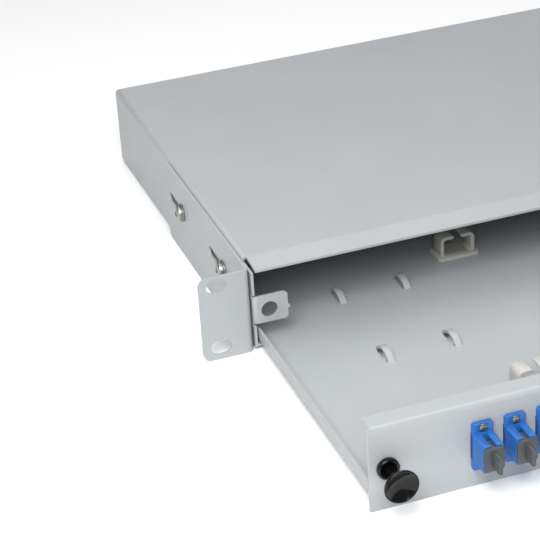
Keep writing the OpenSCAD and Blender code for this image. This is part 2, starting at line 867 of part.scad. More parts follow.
module cassette_thumb_nuts() color("#232628")
    for (x = [-stud_x, stud_x])
        translate([x, cassette_y, stack_top + lid_t]) difference() {
            union() {
                cylinder(h = 1.2, r = thumb_rim_r);
                cylinder(h = thumb_h, r = thumb_r);
                for (a = [0:30:330])
                    rotate([0, 0, a]) translate([thumb_r - 0.4, -thumb_rib[1] / 2, 0])
                        cube([thumb_rib[0], thumb_rib[1], thumb_h]);
            }
            translate([0, 0, -1]) cylinder(h = thumb_h + 2, r = stud_r + fit);
        }

module fibre_clips() color("#e9e9e4")
    for (p = clip_places)
        translate([p[0], p[1], tray_floor]) {
            linear_extrude(clip_t) square([clip_w + 4, clip_len + 5], center = true);
            wall_y(-clip_len / 2, clip_len) translate([0, clip_h / 2]) difference() {
                round_rect(clip_w, clip_h, clip_r);
                round_rect(clip_w - 2 * clip_t, clip_h - 2 * clip_t, clip_r - clip_t);
                translate([-clip_gap / 2, 0]) square([clip_gap, clip_h]);
            }
        }

// ---- Drawing ----

housing_cover();
housing_base();
rear_rivets();
slide_rail_left();
slide_rail_right();
ear_screws();
ear_screw_washers();
ear_clinch_nuts();
gland_body_left();
gland_dome_nut_left();
gland_seal_left();
gland_locknut_left();
gland_body_right();
gland_dome_nut_right();
gland_seal_right();
gland_locknut_right();
blanking_plugs();
plug_locknuts();
earth_stud();
earth_nuts();
rack_ear_left();
rack_ear_right();
drawer_tray();
front_panel();
panel_studs();
panel_nuts();
latch_grommet_left();
latch_grommet_right();
latch_knob_left();
latch_knob_right();
port_blanks();
port_screws();
port_nuts();
dust_caps_front();
dust_caps_rear();
alignment_sleeves();
cassette_studs();
cassette_lower();
cassette_upper();
cassette_lid();
splice_combs_lower();
splice_combs_upper();
cassette_thumb_nuts();
fibre_clips();
for (i = [0:adapter_count - 1])
    adapter(adapter_xs[i]);
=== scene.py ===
import json
import math

import bmesh
import bpy
from mathutils import Matrix, Vector


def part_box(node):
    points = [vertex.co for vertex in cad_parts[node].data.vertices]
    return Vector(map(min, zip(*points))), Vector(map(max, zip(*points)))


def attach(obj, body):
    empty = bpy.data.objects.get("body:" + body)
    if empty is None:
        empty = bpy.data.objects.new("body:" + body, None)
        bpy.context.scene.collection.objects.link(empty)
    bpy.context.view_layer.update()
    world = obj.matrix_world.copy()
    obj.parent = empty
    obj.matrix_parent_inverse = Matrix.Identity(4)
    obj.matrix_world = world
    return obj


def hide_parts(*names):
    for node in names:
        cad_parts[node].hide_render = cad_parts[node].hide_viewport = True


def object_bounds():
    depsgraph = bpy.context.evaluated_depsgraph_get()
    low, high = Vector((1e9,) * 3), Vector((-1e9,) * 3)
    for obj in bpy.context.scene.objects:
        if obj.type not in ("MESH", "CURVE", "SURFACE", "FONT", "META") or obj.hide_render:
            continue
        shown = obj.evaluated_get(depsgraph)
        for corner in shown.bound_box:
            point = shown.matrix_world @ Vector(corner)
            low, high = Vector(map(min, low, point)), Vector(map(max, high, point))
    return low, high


# Shapes are built in millimetres; the frame and the finished pieces are in metres.
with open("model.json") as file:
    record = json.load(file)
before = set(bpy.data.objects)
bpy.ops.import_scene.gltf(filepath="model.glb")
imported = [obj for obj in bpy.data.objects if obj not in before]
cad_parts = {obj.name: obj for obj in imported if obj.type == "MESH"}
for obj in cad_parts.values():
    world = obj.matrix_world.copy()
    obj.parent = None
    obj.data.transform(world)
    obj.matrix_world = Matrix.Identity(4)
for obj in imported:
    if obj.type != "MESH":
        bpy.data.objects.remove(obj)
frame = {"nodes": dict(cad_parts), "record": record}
cad_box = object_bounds()
NODES = frame["nodes"]
RECORD = frame["record"]
SLOT_OF = {s["node"]: s["material_slot"] for s in RECORD["subparts"]}
BODY_OF = {node: body for body, nodes in RECORD["behaviour"]["bodies"].items() for node in nodes}
MM = 0.001
TURN = 2 * math.pi
# Points of a CAD mesh that are nearer than this, in metres, are one point.
SAME_POINT = 0.000002

# ---------------------------------------------------------------- materials


class Finish:
    """A material's node tree, ending in one Principled shader. Sizes are in metres."""

    def __init__(self, name):
        self.material = bpy.data.materials.new(name)
        self.material.use_nodes = True
        self.tree = self.material.node_tree
        self.shader = self.tree.nodes["Principled BSDF"]
        self.place = self.tree.nodes.new("ShaderNodeTexCoord").outputs["Object"]

    def add(self, kind):
        return self.tree.nodes.new(kind)

    def link(self, source, target):
        self.tree.links.new(source, target)

    def noise(self, size, detail):
        """Noise whose grains are about size across."""
        mapping = self.add("ShaderNodeMapping")
        mapping.inputs["Scale"].default_value = [1 / size] * 3
        self.link(self.place, mapping.inputs["Vector"])
        noise = self.add("ShaderNodeTexNoise")
        noise.inputs["Scale"].default_value = 1.0
        noise.inputs["Detail"].default_value = detail
        self.link(mapping.outputs["Vector"], noise.inputs["Vector"])
        return noise.outputs["Fac"]

    def ramp(self, source, low, high, start=0.3, end=0.7):
        """A colour that goes from low to high as source goes from start to end."""
        ramp = self.add("ShaderNodeValToRGB")
        for element, at, colour in zip(ramp.color_ramp.elements, (start, end), (low, high)):
            element.position = at
            element.color = (*colour, 1)
        self.link(source, ramp.inputs["Fac"])
        return ramp.outputs["Color"]

    def span(self, source, low, high, start=0.3, end=0.7):
        """A number that goes from low to high as source goes from start to end."""
        span = self.add("ShaderNodeMapRange")
        for key, value in zip(("From Min", "From Max", "To Min", "To Max"), (start, end, low, high)):
            span.inputs[key].default_value = value
        self.link(source, span.inputs["Value"])
        return span.outputs["Result"]

    def bump(self, source, depth, onto=None):
        bump = self.add("ShaderNodeBump")
        bump.inputs["Strength"].default_value = 1.0
        bump.inputs["Distance"].default_value = depth
        self.link(source, bump.inputs["Height"])
        if onto is not None:
            self.link(onto, bump.inputs["Normal"])
        return bump.outputs["Normal"]

    def colour(self, source):
        self.link(source, self.shader.inputs["Base Color"])

    def roughness(self, source):
        self.link(source, self.shader.inputs["Roughness"])

    def normal(self, source):
        self.link(source, self.shader.inputs["Normal"])

    def set(self, **values):
        for key, value in values.items():
            self.shader.inputs[key.replace("_", " ")].default_value = value


def shade(colour, factor):
    """A colour made darker or lighter."""
    return tuple(min(1.0, c * factor) for c in colour)


def powder_coat(name, colour):
    """Sheet metal with a satin powder coat: orange peel, and slightly uneven colour and gloss."""
    f = Finish(name)
    f.colour(f.ramp(f.noise(0.05, 3), shade(colour, 0.975), shade(colour, 1.02)))
    f.roughness(f.span(f.noise(0.01, 3), 0.41, 0.46))
    peel = f.bump(f.noise(0.0018, 2), 0.00003)
    f.normal(f.bump(f.noise(0.0004, 1), 0.00001, peel))
    f.set(Specular_IOR_Level=0.45)
    return f.material


def plated_steel(name, colour, roughness):
    """Plated or turned metal: fine streaks, and a slightly cloudy gloss."""
    f = Finish(name)
    f.colour(f.ramp(f.noise(0.0015, 4), shade(colour, 0.8), shade(colour, 1.1)))
    f.roughness(f.span(f.noise(0.0008, 3), roughness - 0.08, roughness + 0.12))
    f.normal(f.bump(f.noise(0.0003, 2), 0.000006))
    f.set(Metallic=1.0)
    return f.material


def moulded(name, colour, roughness, grain=0.0005, depth=0.00001, specular=0.5):
    """Moulded plastic or rubber: a faint grain, and colour and gloss that vary a little."""
    f = Finish(name)
    f.colour(f.ramp(f.noise(0.008, 3), shade(colour, 0.95), shade(colour, 1.05)))
    f.roughness(f.span(f.noise(0.003, 3), roughness * 0.85, roughness * 1.15))
    f.normal(f.bump(f.noise(grain, 2), depth))
    f.set(Specular_IOR_Level=specular)
    return f.material


def clear_plastic(name, colour):
    """Thin clear plastic that is not quite flat."""
    f = Finish(name)
    f.colour(f.ramp(f.noise(0.02, 2), shade(colour, 0.97), shade(colour, 1.02)))
    f.roughness(f.span(f.noise(0.006, 3), 0.06, 0.14))
    f.normal(f.bump(f.noise(0.03, 2), 0.00004))
    f.set(Alpha=0.3, Specular_IOR_Level=0.6)
    return f.material


def floor_paper(name):
    """Matt paper, nearly white."""
    f = Finish(name)
    f.colour(f.ramp(f.noise(0.3, 2), (0.92, 0.92, 0.92), (0.94, 0.94, 0.94)))
    f.set(Roughness=0.9, Specular_IOR_Level=0.1)
    return f.material


GREY = (0.382, 0.401, 0.414)
FINISH = {
    "grey_paint": powder_coat("powder_coat_grey", GREY),
    "zinc": plated_steel("zinc_plate", (0.36, 0.37, 0.35), 0.34),
    "yellow_brass": plated_steel("brass_turned", (0.62, 0.46, 0.18), 0.26),
    "black_nylon": moulded("nylon_black", (0.026, 0.027, 0.029), 0.42),
    "seal_rubber": moulded("rubber_seal", (0.016, 0.016, 0.016), 0.7, specular=0.3),
    "gloss_black": moulded("gloss_black_moulding", (0.004, 0.004, 0.0045), 0.17, 0.004, 0.00001, 0.3),
    "adapter_blue": moulded("plastic_blue", (0.018, 0.12, 0.40), 0.34),
    "cap_grey": moulded("plastic_cap", (0.06, 0.065, 0.07), 0.5),
    "ceramic": moulded("zirconia", (0.8, 0.78, 0.72), 0.15),
    "cassette_white": moulded("abs_off_white", (0.6, 0.59, 0.55), 0.4),
    "lid_clear": clear_plastic("clear_lid", (0.75, 0.8, 0.82)),
    "comb_rubber": moulded("foam_comb", (0.03, 0.03, 0.034), 0.85, 0.0006, 0.0001, 0.2),
    "clip_nylon": moulded("nylon_natural", (0.5, 0.5, 0.46), 0.4),
}

# ---------------------------------------------------------------- shape tools


class Shape:
    """A closed mesh in millimetres, put together from turned, extruded and boxed solids."""

    def __init__(self):
        self.bm = bmesh.new()

    def skin(self, rings, around, ends):
        """Joins rings of points with quads. A ring of one point is a pole."""
        bm = self.bm
        rows = [[bm.verts.new(point) for point in ring] for ring in rings]
        pairs = list(zip(rows, rows[1:]))
        if ends == "joined":
            pairs.append((rows[-1], rows[0]))
        count = max(len(row) for row in rows)
        for low, high in pairs:
            for i in range(count if around else count - 1):
                j = (i + 1) % count
                corners = [low[i % len(low)], low[j % len(low)], high[j % len(high)], high[i % len(high)]]
                bm.faces.new(list(dict.fromkeys(corners)))
        if ends == "capped":
            for row in (rows[0], rows[-1]):
                if len(row) > 2:
                    bm.faces.new(row)
        if not around:
            for i in (0, -1):
                bm.faces.new([row[i] for row in rows])
        return self

    def turned(self, profile, segments=48, ring=False, arc=None):
        """Turns (radius, height) points about Z. A radius may be a function of the angle. ring closes
        the profile on itself, and arc limits the turn to two angles."""
        first, last = arc or (0, TURN)
        count = segments + 1 if arc else segments
        angles = [first + (last - first) * i / segments for i in range(count)]
        rings = []
        for radius, z in profile:
            if radius == 0:
                rings.append([(0, 0, z)])
                continue
            sizes = [radius(a) if callable(radius) else radius for a in angles]
            rings.append([(r * math.cos(a), r * math.sin(a), z) for r, a in zip(sizes, angles)])
        return self.skin(rings, around=arc is None, ends="joined" if ring else "capped")

    def prism(self, outline, z0, z1, scale=1.0):
        """An outline in X and Y, made a solid from z0 to z1, where it is scaled."""
        low = [(x, y, z0) for x, y in outline]
        high = [(x * scale, y * scale, z1) for x, y in outline]
        return self.skin([low, high], around=True, ends="capped")

    def block(self, lo, hi):
        outline = [(lo[0], lo[1]), (hi[0], lo[1]), (hi[0], hi[1]), (lo[0], hi[1])]
        return self.prism(outline, lo[2], hi[2])

    def clean(self):
        bmesh.ops.recalc_face_normals(self.bm, faces=self.bm.faces[:])
        return self

    def soften(self, width, segments=2, angle=28):
        """Rounds every edge sharper than angle."""
        self.clean()
        limit = math.radians(angle)
        edges = [e for e in self.bm.edges if e.is_manifold and e.calc_face_angle(0) > limit]
        bmesh.ops.bevel(self.bm, geom=edges, offset=width, offset_type="OFFSET", segments=segments,
                        profile=0.5, affect="EDGES", clamp_overlap=True)
        return self

    def add(self, other, matrix=Matrix()):
        """Puts a copy of another shape in this one."""
        mesh = bpy.data.meshes.new("copy")
        other.bm.to_mesh(mesh)
        mesh.transform(matrix)
        self.bm.from_mesh(mesh)
        bpy.data.meshes.remove(mesh)
        return self

    def cut(self, *others):
        """Takes other shapes away from this one."""
        for other in others:
            objects = []
            for shape in (self, other):
                mesh = bpy.data.meshes.new("solid")
                shape.clean().bm.to_mesh(mesh)
                objects.append(bpy.data.objects.new("solid", mesh))
                bpy.context.scene.collection.objects.link(objects[-1])
            boolean = objects[0].modifiers.new("cut", "BOOLEAN")
            boolean.operation = "DIFFERENCE"
            boolean.solver = "EXACT"
            boolean.object = objects[1]
            seen = objects[0].evaluated_get(bpy.context.evaluated_depsgraph_get())
            result = bpy.data.meshes.new_from_object(seen)
            self.bm.clear()
            self.bm.from_mesh(result)
            for mesh in [result] + [o.data for o in objects]:
                bpy.data.meshes.remove(mesh)
        return self

    def drill(self, radius, depth, segments=20, x=0, y=0):
        """Drills a round hole down from the top, at x and y."""
        tool = Shape().turned([(0, 1), (radius, 1), (radius, -depth), (0, -depth)], segments)
        return self.cut(Shape().add(tool, Matrix.Translation((x, y, 0))))

    def mesh(self, name, smooth=35):
        """The shape as a mesh in metres, smooth but for edges sharper than smooth degrees."""
        self.clean()
        mesh = bpy.data.meshes.new(name)
        self.bm.to_mesh(mesh)
        mesh.transform(Matrix.Scale(MM, 4))
        mesh.shade_smooth()
        mesh.set_sharp_from_angle(angle=math.radians(smooth))
        return mesh


def paint(piece, slot):
    """Gives a piece the finish of one of the record's material slots."""
    piece.data.materials.clear()
    piece.data.materials.append(FINISH[slot])


def stand_in(node, mesh, matrix=Matrix()):
    """A detailed piece, drawn in millimetres at matrix, that shows instead of a CAD node."""
    piece = bpy.data.objects.new(node + "_detail", mesh)
    bpy.context.scene.collection.objects.link(piece)
    place = matrix.copy()
    place.translation = matrix.translation * MM
    piece.matrix_world = place
    paint(piece, SLOT_OF[node])
    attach(piece, BODY_OF[node])
    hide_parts(node)


def arc_points(x, y, radius, start, end, steps):
    """Points on an arc about (x, y), from one angle in degrees to another."""
    angles = [math.radians(start + (end - start) * i / steps) for i in range(steps + 1)]
    return [(x + radius * math.cos(a), y + radius * math.sin(a)) for a in angles]


def rounded(w, h, r, steps=6):
    """A rectangle about the origin with round corners."""
    x, y = w / 2 - r, h / 2 - r
    corners = ((x, y, 0), (-x, y, 90), (-x, -y, 180), (x, -y, 270))
    return [p for cx, cy, a in corners for p in arc_points(cx, cy, r, a, a + 90, steps)]


def band(path, width):
    """The outline of a strip that follows a path, with round ends."""
    left, right = [], []
    for i, (x, y) in enumerate(path):
        before, after = path[max(i - 1, 0)], path[min(i + 1, len(path) - 1)]
        dx, dy = after[0] - before[0], after[1] - before[1]
        length = math.hypot(dx, dy)
        nx, ny = -dy / length * width / 2, dx / length * width / 2
        left.append((x + nx, y + ny))
        right.append((x - nx, y - ny))

    def end(side, other):
        middle = ((side[0] + other[0]) / 2, (side[1] + other[1]) / 2)
        start = math.degrees(math.atan2(side[1] - middle[1], side[0] - middle[0]))
        return arc_points(*middle, width / 2, start, start - 180, 6)[1:-1]

    return left + end(left[-1], right[-1]) + right[::-1] + end(right[0], left[0])


def hexagon(flats, limit=math.inf):
    """The radius of a hexagon that is flats across, at an angle, cut back to a round limit."""
    return lambda a: min(flats / 2 / math.cos(a % (TURN / 6) - TURN / 12), limit)


def fluted(radius, depth, count):
    """The radius of a round grip with count grooves, at an angle."""
    return lambda a: radius - depth * (0.5 - 0.5 * math.cos(count * a)) ** 0.7


def screw_thread(radius, z0, z1, pitch, depth):
    """Profile points of a helical thread from z0 to z1, whose ends run out."""
    steps = max(2, round(abs(z1 - z0) / pitch * 6))
    points = []
    for i in range(steps + 1):
        z = z0 + (z1 - z0) * i / steps
        fade = min(1.0, 3 * min(i, steps - i) / steps)

        def size(a, z=z, fade=fade):
            turn = (z / pitch - a / TURN) % 1.0
            return radius - depth * fade * abs(2 * turn - 1)

        points.append((size, z))
    return points


FACING = {"front": 0, "back": 180, "left": -90, "right": 90}


def spot(box, side):
    """The middle of one side of a box, with local Z pointing out of that side and local Y up."""
    lo, hi = box
    point = (lo + hi) / 2
    if side == "top":
        point.z = hi.z
        return Matrix.Translation(point)
    axis = "x" if side in ("left", "right") else "y"
    setattr(point, axis, getattr(lo if side in ("left", "front") else hi, axis))
    turn = Matrix.Rotation(math.radians(FACING[side]), 4, "Z")
    return Matrix.Translation(point) @ turn @ Matrix.Rotation(math.pi / 2, 4, "X")


def box_of(node):
    """The lowest and highest corners of a CAD node, in millimetres."""
    lo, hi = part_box(node)
    return Vector(lo) / MM, Vector(hi) / MM


def solids(node):
    """The boxes of a CAD node's separate solids."""
    bm = bmesh.new()
    bm.from_mesh(NODES[node].data)
    bmesh.ops.remove_doubles(bm, verts=bm.verts[:], dist=SAME_POINT)
    left = set(bm.verts)
    boxes = []
    while left:
        queue = [left.pop()]
        found = []
        while queue:
            vert = queue.pop()
            found.append(NODES[node].matrix_world @ vert.co / MM)
            for edge in vert.link_edges:
                other = edge.other_vert(vert)
                if other in left:
                    left.remove(other)
                    queue.append(other)
        lo = Vector([min(p[i] for p in found) for i in range(3)])
        hi = Vector([max(p[i] for p in found) for i in range(3)])
        boxes.append((lo, hi))
    bm.free()
    return sorted(boxes, key=lambda b: (b[0].x, b[0].y, b[0].z))


def repeat(node, shape_for, side_for):
    """Fills one piece with a shape for each solid of a CAD node."""
    whole = Shape()
    ready = {}
    for box in solids(node):
        size = tuple(round(s, 2) for s in box[1] - box[0])
        if size not in ready:
            ready[size] = shape_for(size).clean()
        whole.add(ready[size], spot(box, side_for(box)))
    stand_in(node, whole.mesh(node))


def front(box):
    return "front"


def back(box):
    return "back"


def upward(box):
    return "top"


def outward(box):
    return "left" if box[0].x < 0 else "right"


def inward(box):
    return "right" if box[0].x < 0 else "left"


# ---------------------------------------------------------------- sheet metal, kept from CAD


def soften_sheet(piece, width):
    """Rounds a sheet's cut edges by width, in metres, and keeps its flats flat."""
    weld = piece.modifiers.new("weld", "WELD")
    weld.merge_threshold = SAME_POINT
    bevel = piece.modifiers.new("bevel", "BEVEL")
    bevel.width = width
    bevel.segments = 2
    bevel.limit_method = "ANGLE"
    bevel.angle_limit = math.radians(32)


for name, node in NODES.items():
    paint(node, SLOT_OF[name])
    if SLOT_OF[name] == "grey_paint":
        soften_sheet(node, 0.22 * MM)

# ---------------------------------------------------------------- fasteners


def recess(radius, depth):
    """A cross-shaped driver, narrower at its tip."""
    long, short = radius * 0.56, radius * 0.15
    cross = [(long, short), (short, short), (short, long), (-short, long), (-short, short),
             (-long, short), (-long, -short), (-short, -short), (-short, -long), (short, -long),
             (short, -short), (long, -short)]
    return Shape().prism(cross, 0.5, -depth, 0.45)


def pan_screw(radius, head, length, shank, pitch=None, segments=48):
    """A pan head whose top is at the origin, with a cross recess, on its shank."""
    edge = head * 0.16
    dome = [(radius * t, -(head * 0.42) * t ** 2.6) for t in (0.25, 0.5, 0.7, 0.85, 0.95)]
    profile = [(0, 0)] + dome + [(radius - edge * 0.2, -head * 0.5), (radius, -head * 0.62),
                                 (radius, -head + edge * 0.4), (radius - edge * 0.4, -head)]
    shape = Shape()
    if pitch:
        shank_points = screw_thread(shank, -head, -length + shank * 0.4, pitch, pitch * 0.5)
    else:
        shank_points = [(shank, -head), (shank, -length + shank * 0.4)]
    shape.turned(profile + shank_points + [(shank * 0.6, -length), (0, -length)], segments)
    return shape.cut(recess(radius, head * 0.62))


def washer(radius, thickness, hole):
    """A flat washer whose upper face is at the origin."""
    edge = 0.15
    return Shape().turned([
        (hole, -edge), (hole + edge, 0), (radius - edge, 0), (radius, -edge),
        (radius, edge - thickness), (radius - edge, -thickness), (hole + edge, -thickness),
        (hole, edge - thickness)
    ], 48, ring=True)


def hex_nut(flats, thickness, hole, segments=60, collar=0.0):
    """A chamfered hexagon nut whose upper face is at the origin, with a collar under it."""
    corner = flats / 2 / math.cos(TURN / 12)
    chamfer = (corner - flats / 2) * 1.15
    face = flats / 2 * 0.97
    profile = [(hole, -chamfer * 0.6), (hole * 1.12, 0), (face, 0)]
    profile += [(hexagon(flats, corner - chamfer * k), -chamfer * (1 - k) * 0.6) for k in (0.8, 0.5, 0.2)]
    profile += [(hexagon(flats), -chamfer * 0.7), (hexagon(flats), -thickness + chamfer * 0.7)]
    if collar:
        profile += [(corner + collar, -thickness + 0.3), (corner + collar, -thickness)]
    else:
        profile += [(hexagon(flats, corner - chamfer * k), -thickness + chamfer * (1 - k) * 0.6)
                    for k in (0.2, 0.5, 0.8)]
        profile += [(face, -thickness)]
    profile += [(hole * 1.12, -thickness), (hole, -thickness + chamfer * 0.6)]
    return Shape().turned(profile, segments, ring=True)


def threaded_rod(radius, length, pitch, plain=0.0, segments=36):
    """A stud whose end is at the origin, threaded but for its plain foot."""
    profile = [(0, 0), (radius * 0.72, 0), (radius * 0.86, -pitch * 0.5)]
    profile += screw_thread(radius, -pitch, plain - length, pitch, pitch * 0.5)
    return Shape().turned(profile + [(radius, -length), (0, -length)], segments)


# The room that a hole leaves round a screw or stud
PLAY = 0.05
# The radius and pitch of the ear screws' threads
EAR_THREAD = 2.0
EAR_PITCH = 0.7


def clinch_nut(size):
    """A clinch nut from its inner end: a smooth collar, and a knurl where it bites into the sheet."""
    depth, radius = size[0], size[2] / 2
    hole, collar = EAR_THREAD + PLAY, radius - 0.6
    knurl = fluted(radius, 0.25, 36)
    return Shape().turned([
        (hole, -0.3), (hole + 0.3, 0), (collar - 0.3, 0), (collar, -0.3), (collar, -1.6),
        (knurl, -1.8), (knurl, -depth), (hole, -depth)
    ], 72, ring=True)


def make_ear_fasteners():
    head = 2.6
    repeat("ear_screws", lambda s: pan_screw(s[2] / 2, head, s[0], EAR_THREAD, EAR_PITCH), outward)
    repeat("ear_screw_washers", lambda s: washer(s[2] / 2, s[0], EAR_THREAD + PLAY), outward)
    repeat("ear_clinch_nuts", clinch_nut, inward)


def make_panel_fasteners():
    stud, screw, screw_head = 1.5, 1.0, 1.2
    repeat("panel_studs", lambda s: threaded_rod(s[2] / 2, s[1], 0.5, plain=2.0), back)
    repeat("panel_nuts", lambda s: hex_nut(s[2], s[1], stud + PLAY, collar=0.25), back)
    repeat("port_screws", lambda s: pan_screw(s[2] / 2, screw_head, s[1], screw, segments=24), front)
    repeat("port_nuts", lambda s: hex_nut(s[2], s[1], screw + PLAY, segments=36), back)


def rivet(size):
    """A blind rivet: a low head with the broken stem in its middle, and the tail behind."""
    radius, length = size[0] / 2, size[1]
    head = 1.6
    return Shape().turned([
        (0, -0.55), (0.55, -0.6), (0.8, -0.75), (0.85, -1.0), (0.95, -1.0), (0.98, -0.12),
        (1.15, 0), (1.6, -0.04), (2.3, -0.36), (2.8, -0.9), (radius, -1.4), (radius - 0.1, -head),
        (1.6, -head), (1.6, 1.4 - length), (2.5, 0.9 - length), (2.5, 0.4 - length),
        (1.8, -length), (0, -length)
    ], 40)


# ---------------------------------------------------------------- latches


def knob(size):
    """The latch knob: a dished face inside a fine rim, on a flared stem."""
    radius, length = size[0] / 2, size[1]
    stem, rim_z = 2.0, -0.6
    dish_r, dish_z, dish_depth = radius - 0.75, rim_z - 0.15, 2.7
    dish = [(dish_r * t, dish_z - dish_depth * (1 - t ** 1.8))
            for t in (0.1, 0.2, 0.3, 0.4, 0.55, 0.7, 0.8, 0.9, 1.0)]
    rim = [(radius - 0.6, rim_z - 0.03), (radius - 0.42, rim_z), (radius - 0.2, rim_z - 0.06),
           (radius - 0.04, rim_z - 0.25), (radius, rim_z - 0.5), (radius - 0.03, rim_z - 1.1),
           (radius - 0.25, rim_z - 1.5), (radius - 0.8, rim_z - 1.75)]
    under = [(stem + 3.2, -2.8), (stem + 2.0, -3.4), (stem + 1.1, -4.3), (stem + 0.4, -5.6), (stem, -7.2)]
    tail = [(stem, 1.2 - length), (stem - 0.25, 0.4 - length), (stem - 0.7, -length), (0, -length)]
    return Shape().turned([(0, dish_z - dish_depth)] + dish + rim + under + tail, 72)


def grommet(size):
    """The latch grommet: a dished ring on the panel, and four prongs behind it."""
    radius, length = size[0] / 2, size[1]
    bore, tube, height = 2.3, 3.6, 2.6
    prong_z = -height - 0.6
    shape = Shape().turned([
        (bore, -1.75), (bore + 0.5, -1.35), (bore + 1.0, -0.75), (bore + 1.4, -0.2),
        (radius - 0.95, 0), (radius - 0.6, -0.06), (radius - 0.25, -0.3), (radius - 0.05, -0.7),
        (radius, -1.1), (radius, -height + 0.25), (radius - 0.15, -height), (tube, -height),
        (tube, prong_z), (bore, prong_z)
    ], 64, ring=True)
    slit = math.radians(8)
    for i in range(4):
        middle = i * TURN / 4
        span = (middle - TURN / 8 + slit, middle + TURN / 8 - slit)
        shape.turned([
            (bore, prong_z), (tube, prong_z), (tube, 1.6 - length), (tube - 0.1, 1.2 - length),
            (tube - 0.6, -length), (bore, -length)
        ], 10, ring=True, arc=span)
    return shape


def make_latches():
    for hand in ("left", "right"):
        for name, shape_for in (("latch_knob_", knob), ("latch_grommet_", grommet)):
            box = box_of(name + hand)
            stand_in(name + hand, shape_for(box[1] - box[0]).mesh(name + hand), spot(box, "front"))


# ---------------------------------------------------------------- ports


# What every port has: its height, and a screw hole above and below it
PORT_H = 12.8
PORT_HOLE_Y = 9.0
PORT_HOLE_R = 1.05


def adapter(size):
    """A connector adapter from its front end: a body with a socket in each end, and a flange."""
    w, length, tall = size
    h, flange_z, flange_t = PORT_H, -10.0, 2.0
    socket_x, socket_y, socket_depth = 3.8, 4.6, 9.5
    key_x, key_y = 1.25, 4.0
    body = Shape().prism(rounded(w, h, 0.9, 3), -length, 0)
    # grip ribs in the upper and lower faces
    rib_x, rib_y, rib_depth, rib_w = w * 0.32, h / 2 + 0.3, 0.6, 0.8
    for z in (-2.2, -3.8, -5.4, -20.8, -22.4, -24.0):
        for s in (-1, 1):
            body.cut(Shape().block((-rib_x, s * rib_y - rib_depth, z - rib_w / 2),
                                   (rib_x, s * rib_y + rib_depth, z + rib_w / 2)))
    for z0, z1 in ((-socket_depth, 1), (-length - 1, -length + socket_depth)):
        body.cut(Shape().block((-socket_x, -socket_y, z0), (socket_x, socket_y, z1)),
                 Shape().block((-key_x, key_y, z0), (key_x, h, z1)))
    body.soften(0.22)
    plate = Shape().prism(rounded(w, tall, 1.2, 4), flange_z - flange_t, flange_z)
    for s in (-1, 1):
        plate.drill(PORT_HOLE_R, 40, y=s * PORT_HOLE_Y)
    plate.soften(0.25)
    # ledge round the body in front of the flange
    ledge = Shape().prism(rounded(w - 0.02, h + 1.2, 1.1, 3), flange_z, flange_z + 0.9).soften(0.2)
    # guide for the ferrules, between the two sockets
    ferrule = Shape().turned([
        (1.35, -8.4), (1.5, -8.2), (2.1, -8.2), (2.3, -8.4), (2.3, -length + 8.4), (2.1, -length + 8.2),
        (1.5, -length + 8.2), (1.35, -length + 8.4)
    ], 24, ring=True)
    return body.add(plate).add(ledge).add(ferrule)


def dust_cap(size):
    """A cap from its grip: a ribbed fin, a plate and the plug behind it."""
    w, length, h = size
    plate_z = -7.0
    fin = Shape().prism(rounded(2.0, 8.0, 0.9, 4), plate_z + 0.7, 0).soften(0.3)
    for z in (-1.6, -3.0, -4.4):
        fin.add(Shape().prism(rounded(2.7, 6.0, 0.6, 3), z - 0.3, z + 0.3).soften(0.2))
    plate = Shape().prism(rounded(w, h, 1.5, 5), plate_z, plate_z + 1.2).soften(0.3)
    plug = Shape().prism(rounded(7.4, 9.0, 0.6, 3), -length, plate_z + 0.1).soften(0.3)
    return fin.add(plate).add(plug)


def port_blank(size):
    """A blank: a plate with a sunk field and two screw holes, and a hollow plug behind it."""
    w, length, h = size
    plate_t, plug_wall = 1.6, 1.2
    plug_w = w - 1.2
    plate = Shape().prism(rounded(w, h, 1.6, 5), -plate_t, 0)
    plate.cut(Shape().prism(rounded(w - 3.0, 11.4, 1.2, 4), -0.45, 1))
    for s in (-1, 1):
        plate.drill(PORT_HOLE_R, 3, y=s * PORT_HOLE_Y)
    plate.soften(0.25)
    plug = Shape().prism(rounded(plug_w, PORT_H, 0.8, 3), -length, 0.1 - plate_t)
    inside = rounded(plug_w - 2 * plug_wall, PORT_H - 2 * plug_wall, 0.5, 3)
    plug.cut(Shape().prism(inside, -length - 1, -plate_t - 1))
    return plate.add(plug.soften(0.2))


def make_ports():
    names = [n for n in NODES if n.startswith("adapter_")]
    size = box_of(names[0])[1] - box_of(names[0])[0]
    mesh = adapter(size).mesh("adapter")
    for name in names:
        stand_in(name, mesh, spot(box_of(name), "front"))
    repeat("dust_caps_front", dust_cap, front)
    repeat("dust_caps_rear", dust_cap, back)
    repeat("port_blanks", port_blank, front)


# ---------------------------------------------------------------- splice cassettes and clips


# The studs that the cassettes and their lid are stacked on, and the holes they pass through
STUD_X = 46.0
STUD_HOLE_R = 2.2


